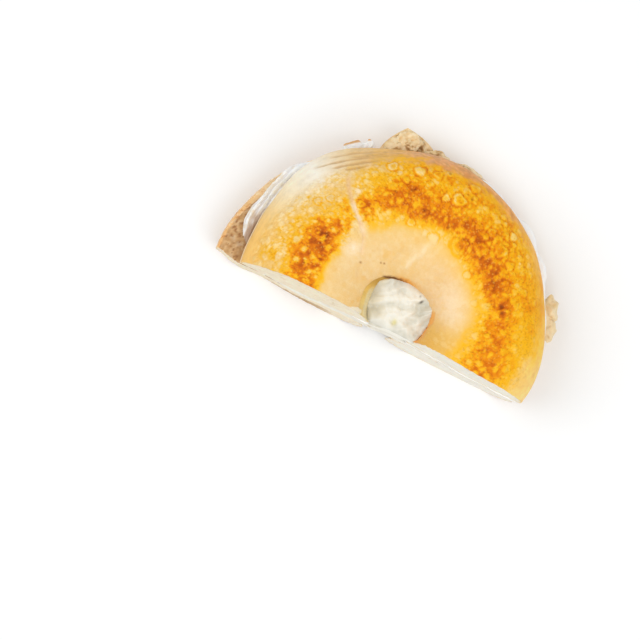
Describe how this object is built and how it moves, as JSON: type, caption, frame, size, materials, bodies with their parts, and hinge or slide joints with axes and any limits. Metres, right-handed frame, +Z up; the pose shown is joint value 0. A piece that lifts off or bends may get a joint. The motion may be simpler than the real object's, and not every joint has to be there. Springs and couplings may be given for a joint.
{
  "type": "half bagel with cream cheese",
  "caption": "Half of a baked bagel, cut down through its hole, filled with cream cheese between the top and bottom bread.",
  "frame": {"origin": "middle of the footprint's box, on the surface that the base rests on", "axes": "+X along the cut, +Y away from the cut towards the round side, +Z up"},
  "size_m": [0.1222, 0.0714, 0.0431],
  "materials": {
    "bottom_crust": "baked bread crust and toasted crumb, dry and matt",
    "cream_cheese": "soft white cream cheese, faint wet sheen",
    "top_crust": "golden baked crust with small blisters, slight sheen"
  },
  "bodies": {
    "root": {"bread_bottom": "bottom_crust", "cream_cheese": "cream_cheese", "bread_top": "top_crust"}
  },
  "joints": []
}
